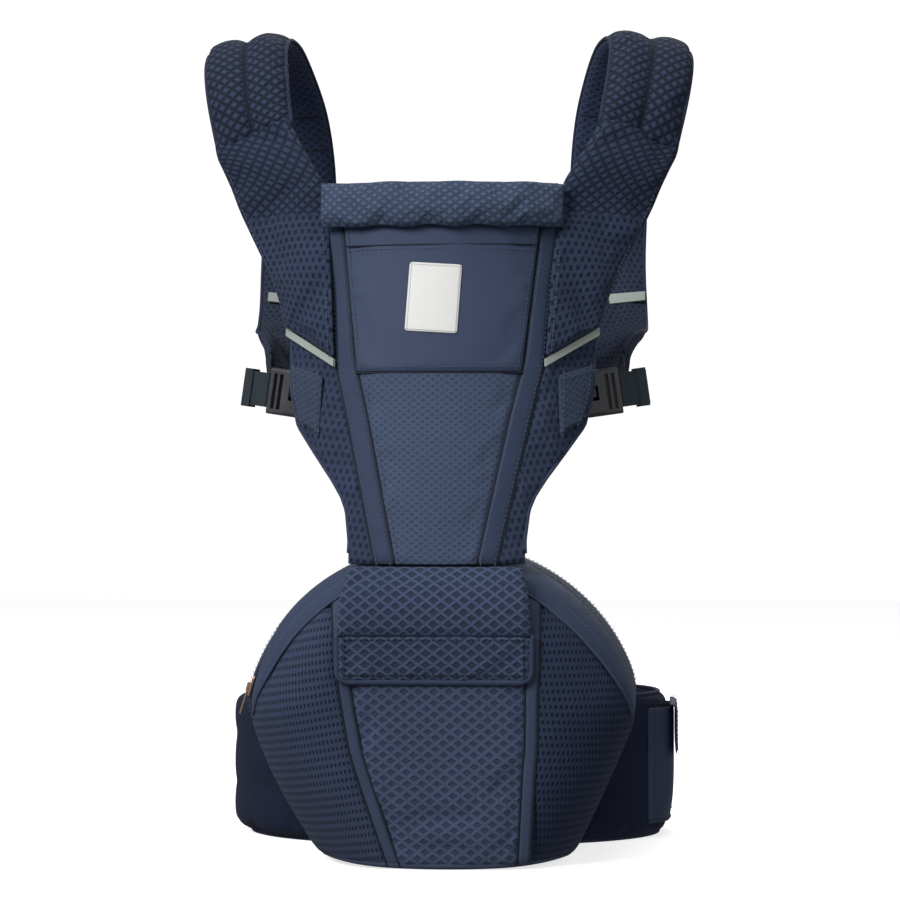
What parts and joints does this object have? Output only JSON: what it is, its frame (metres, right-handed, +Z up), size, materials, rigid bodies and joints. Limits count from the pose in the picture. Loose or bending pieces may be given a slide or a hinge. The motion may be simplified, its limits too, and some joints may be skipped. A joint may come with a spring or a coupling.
{
  "type": "soft baby carrier",
  "caption": "Soft baby carrier with a padded hip seat and waist belt, a curved body panel with a pocket, and padded shoulder straps that buckle under the arms.",
  "frame": {"origin": "on the floor, under the middle of the carrier's bounding box", "axes": "+X towards the pouch side, to the right as seen from the front; -Y is the front, away from the wearer; +Z up"},
  "size_m": [0.363, 0.3722, 0.609],
  "materials": {
    "navy_fabric": "smooth woven nylon, satin",
    "diamond_mesh": "diamond-quilted mesh, matt",
    "spacer_mesh": "open spacer mesh, matt",
    "oval_mesh": "mesh with long oval holes, matt",
    "dark_fabric": "plain woven lining, matt",
    "foam": "closed-cell foam, matt",
    "hook_and_loop": "fuzzy tape, matt",
    "webbing": "ribbed woven webbing",
    "reflective_tape": "reflective ribbon, satin",
    "label_cloth": "woven label, matt",
    "buckle_plastic": "moulded acetal, fine matt",
    "zipper_teeth": "coil zipper, satin",
    "zipper_metal": "polished rose gold"
  },
  "bodies": {
    "hip_seat": {"seat_foam_core": "foam", "seat_cover_centre": "diamond_mesh", "seat_cover_side_left": "spacer_mesh", "seat_cover_side_right": "spacer_mesh", "seat_seam_tapes": "navy_fabric", "seat_rim_band": "navy_fabric", "seat_gussets": "spacer_mesh", "seat_back_panel": "dark_fabric", "seat_base_panel": "dark_fabric", "seat_loop_tape": "hook_and_loop", "zipper_chain": "zipper_teeth", "belt_front_panel": "dark_fabric", "belt_front_foam": "foam", "waist_belt_left": "dark_fabric", "waist_belt_right": "dark_fabric", "waist_belt_foam": "foam", "belt_pouch": "navy_fabric", "waist_webbing_left": "webbing", "waist_webbing_anchors": "webbing", "waist_buckle_socket": "buckle_plastic"},
    "body_panel": {"panel_lining": "dark_fabric", "panel_centre": "diamond_mesh", "panel_band_left": "navy_fabric", "panel_band_right": "navy_fabric", "side_wing_left": "oval_mesh", "side_wing_right": "oval_mesh", "front_pocket": "navy_fabric", "sewn_label": "label_cloth", "wing_tabs": "navy_fabric", "reflective_piping": "reflective_tape", "shoulder_yoke_left": "oval_mesh", "shoulder_yoke_right": "oval_mesh", "shoulder_strap_left": "diamond_mesh", "shoulder_strap_right": "diamond_mesh", "strap_lining_left": "dark_fabric", "strap_lining_right": "dark_fabric", "strap_end_left": "navy_fabric", "strap_end_right": "navy_fabric", "strap_reflectors": "reflective_tape", "strap_end_webbing": "webbing", "side_buckle_socket_left": "buckle_plastic", "side_buckle_socket_right": "buckle_plastic", "chest_strap_rails": "buckle_plastic"},
    "front_flap": {"front_flap": "diamond_mesh", "flap_hook_tape": "hook_and_loop"},
    "head_support": {"head_support": "diamond_mesh"},
    "side_plug_left": {"side_buckle_plug_left": "buckle_plastic", "side_webbing_left": "webbing"},
    "side_plug_right": {"side_buckle_plug_right": "buckle_plastic", "side_webbing_right": "webbing"},
    "waist_plug": {"waist_buckle_plug": "buckle_plastic", "waist_webbing_right": "webbing"},
    "chest_strap": {"chest_strap_sliders": "buckle_plastic", "chest_webbing_left": "webbing", "chest_buckle_socket": "buckle_plastic"},
    "chest_plug": {"chest_buckle_plug": "buckle_plastic", "chest_webbing_right": "webbing"},
    "pouch_flap": {"pouch_flap": "navy_fabric"},
    "zipper_slider": {"zipper_slider": "zipper_metal"},
    "zipper_pull": {"zipper_pull": "zipper_metal"}
  },
  "joints": [
    {"name": "panel_fold", "type": "hinge", "parent": "hip_seat", "child": "body_panel", "pos_m": [0, -0.16955, 0.214], "axis": [1, 0, 0], "range_deg": [0, 80]},
    {"name": "front_flap_lift", "type": "hinge", "parent": "hip_seat", "child": "front_flap", "pos_m": [0, -0.17275, 0.205], "axis": [-1, 0, 0], "range_deg": [0, 80]},
    {"name": "head_support_flip", "type": "hinge", "parent": "body_panel", "child": "head_support", "pos_m": [0, -0.10955, 0.4845], "axis": [-1, 0, 0], "range_deg": [0, 165]},
    {"name": "side_buckle_right_release", "type": "slide", "parent": "body_panel", "child": "side_plug_right", "axis": [0.8827, 0.4514, 0.1304], "range_m": [0, 0.024]},
    {"name": "side_buckle_left_release", "type": "slide", "parent": "body_panel", "child": "side_plug_left", "axis": [-0.8827, 0.4514, 0.1304], "range_m": [0, 0.024]},
    {"name": "waist_buckle_release", "type": "slide", "parent": "hip_seat", "child": "waist_plug", "axis": [1, 0, 0], "range_m": [0, 0.028]},
    {"name": "chest_strap_height", "type": "slide", "parent": "body_panel", "child": "chest_strap", "axis": [0, -0.2099, 0.9777], "range_m": [-0.0015, 0.022]},
    {"name": "chest_buckle_release", "type": "slide", "parent": "chest_strap", "child": "chest_plug", "axis": [1, 0, 0], "range_m": [0, 0.018]},
    {"name": "pouch_flap_open", "type": "hinge", "parent": "hip_seat", "child": "pouch_flap", "pos_m": [0.165, 0.06745, 0.1004], "axis": [0, -1, 0], "range_deg": [0, 80]},
    {"name": "zipper_run", "type": "hinge", "parent": "hip_seat", "child": "zipper_slider", "pos_m": [0, -0.11255, 0.08], "axis": [0, 1, 0], "range_deg": [0, 146]},
    {"name": "zipper_pull_swing", "type": "hinge", "parent": "zipper_slider", "child": "zipper_pull", "pos_m": [-0.13888, -0.11255, 0.121], "axis": [0, 1, 0], "range_deg": [0, 120]}
  ]
}
